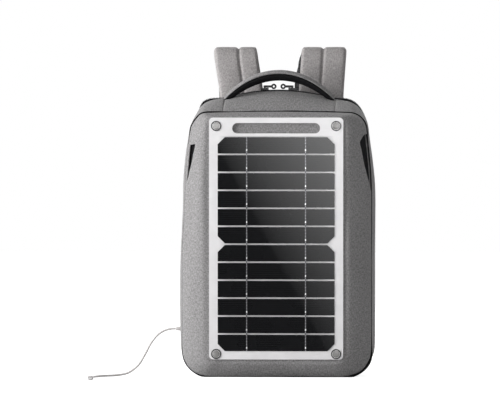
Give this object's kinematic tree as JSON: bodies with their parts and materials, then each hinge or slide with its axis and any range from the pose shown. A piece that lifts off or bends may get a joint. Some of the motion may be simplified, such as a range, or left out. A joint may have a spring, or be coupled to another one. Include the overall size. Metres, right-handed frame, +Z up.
{
  "type": "solar backpack",
  "caption": "Upright grey backpack with a removable solar panel on its front, a zipped back flap, padded shoulder straps, a grab handle and a charging lead.",
  "frame": {"origin": "middle of the base panel's underside, on the surface that the bag stands on, below the front of the top handle", "axes": "+Z up, -Y out of the front that carries the solar panel, +X to the right as seen from the front"},
  "size_m": [0.4407, 0.2754, 0.514],
  "materials": {
    "fabric_grey": "heather grey woven polyester",
    "fabric_black": "black woven nylon",
    "mesh_black": "black spacer mesh over foam",
    "panel_white": "white laminate",
    "cell_dark": "dark laminated silicon",
    "ribbon_silver": "tinned ribbon",
    "eyelet_dark": "dark plated",
    "stud_grey": "grey plated",
    "gunmetal": "dark gunmetal plating",
    "plastic_black": "moulded black",
    "plastic_white": "moulded white",
    "circuit_green": "solder mask",
    "steel": "plated steel"
  },
  "bodies": {
    "bag": {"front_panel": "fabric_grey", "top_gusset": "fabric_grey", "side_gusset_left": "fabric_grey", "side_gusset_right": "fabric_grey", "base_panel": "fabric_black", "pocket_inset_left": "fabric_black", "pocket_inset_right": "fabric_black", "zip_tape_front": "fabric_black", "snap_stud_top_left": "stud_grey", "snap_stud_top_right": "stud_grey", "snap_stud_base_left": "stud_grey", "snap_stud_base_right": "stud_grey", "usb_plug": "plastic_white", "inner_lead": "plastic_white", "cable_gland": "plastic_black", "charge_lead": "plastic_white", "lead_plug": "plastic_white", "lead_plug_tip": "steel"},
    "back_flap": {"back_flap": "fabric_grey", "back_pad_left": "mesh_black", "back_pad_right": "mesh_black", "zip_tape_rear": "fabric_black", "strap_wing_left": "fabric_grey", "strap_wing_right": "fabric_grey"},
    "strap_left": {"strap_left": "fabric_grey", "ladder_lock_left": "plastic_black", "webbing_left": "fabric_black"},
    "strap_right": {"strap_right": "fabric_grey", "ladder_lock_right": "plastic_black", "webbing_right": "fabric_black"},
    "handle": {"handle_cover": "fabric_grey", "handle_lining": "fabric_black"},
    "slider_left": {"zip_slider_left": "gunmetal"},
    "slider_right": {"zip_slider_right": "gunmetal"},
    "pull_left": {"zip_pull_left": "gunmetal"},
    "pull_right": {"zip_pull_right": "gunmetal"},
    "solar_panel": {"panel_board": "panel_white", "cell_01": "cell_dark", "cell_02": "cell_dark", "cell_03": "cell_dark", "cell_04": "cell_dark", "cell_05": "cell_dark", "cell_06": "cell_dark", "cell_07": "cell_dark", "cell_08": "cell_dark", "cell_09": "cell_dark", "cell_10": "cell_dark", "cell_11": "cell_dark", "cell_12": "cell_dark", "ribbon_left": "ribbon_silver", "ribbon_right": "ribbon_silver", "eyelet_top_left": "eyelet_dark", "eyelet_top_right": "eyelet_dark", "eyelet_base_left": "eyelet_dark", "eyelet_base_right": "eyelet_dark", "regulator_case": "plastic_black", "regulator_board": "circuit_green", "usb_socket": "steel"}
  },
  "joints": [
    {"name": "flap_open", "type": "hinge", "parent": "bag", "child": "back_flap", "pos_m": [0, 0.062, 0.0058], "axis": [-1, 0, 0], "range_deg": [0, 45]},
    {"name": "strap_left_swing", "type": "hinge", "parent": "back_flap", "child": "strap_left", "pos_m": [-0.06, 0.0778, 0.428], "axis": [1, 0, 0], "range_deg": [0, 12]},
    {"name": "strap_right_swing", "type": "hinge", "parent": "back_flap", "child": "strap_right", "pos_m": [0.06, 0.0778, 0.428], "axis": [1, 0, 0], "range_deg": [0, 12]},
    {"name": "handle_tilt", "type": "hinge", "parent": "bag", "child": "handle", "pos_m": [0, 0.024, 0.4323], "axis": [1, 0, 0], "range_deg": [-8, 40], "stiffness_Nm_per_rad": 0.08},
    {"name": "slider_left_run", "type": "hinge", "parent": "bag", "child": "slider_left", "pos_m": [0, 0.0492, 0.147], "axis": [0, -1, 0], "range_deg": [0, 10]},
    {"name": "slider_right_run", "type": "hinge", "parent": "bag", "child": "slider_right", "pos_m": [0, 0.0492, 0.147], "axis": [0, 1, 0], "range_deg": [0, 10]},
    {"name": "pull_left_flip", "type": "hinge", "parent": "slider_left", "child": "pull_left", "pos_m": [-0.0219, 0.0492, 0.4518], "axis": [0, -1, 0], "range_deg": [0, 160]},
    {"name": "pull_right_flip", "type": "hinge", "parent": "slider_right", "child": "pull_right", "pos_m": [0.0219, 0.0492, 0.4518], "axis": [0, 1, 0], "range_deg": [0, 160]},
    {"name": "panel_unsnap", "type": "slide", "parent": "bag", "child": "solar_panel", "axis": [0, -1, 0], "range_m": [0, 0.05]}
  ]
}
